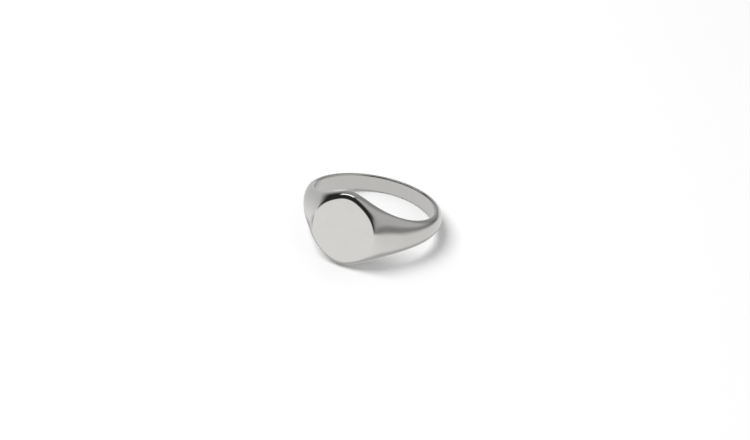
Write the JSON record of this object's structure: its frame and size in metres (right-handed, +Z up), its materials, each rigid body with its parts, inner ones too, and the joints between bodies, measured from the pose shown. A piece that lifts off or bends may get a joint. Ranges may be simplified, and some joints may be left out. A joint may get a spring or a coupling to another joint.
{
  "type": "signet ring",
  "caption": "Round-faced signet ring in polished silver, with a flat blank table, rounded shoulders and a tapering half-round band, lying on its side",
  "frame": {"origin": "the middle of the ring's footprint on the surface it lies on, which is z = 0", "axes": "+Z is up, the table faces -Y and a little upwards, +X is to the right of someone looking at the table, and the finger axis leans 13.5 degrees from +Z towards +Y"},
  "size_m": [0.0206, 0.0214, 0.0111],
  "materials": {
    "silver": "polished",
    "silver_solder": "polished"
  },
  "bodies": {
    "root": {"face_plate": "silver", "face_plate_solder": "silver_solder", "signet_head": "silver", "left_shoulder_solder": "silver_solder", "right_shoulder_solder": "silver_solder", "shank": "silver"}
  },
  "joints": []
}
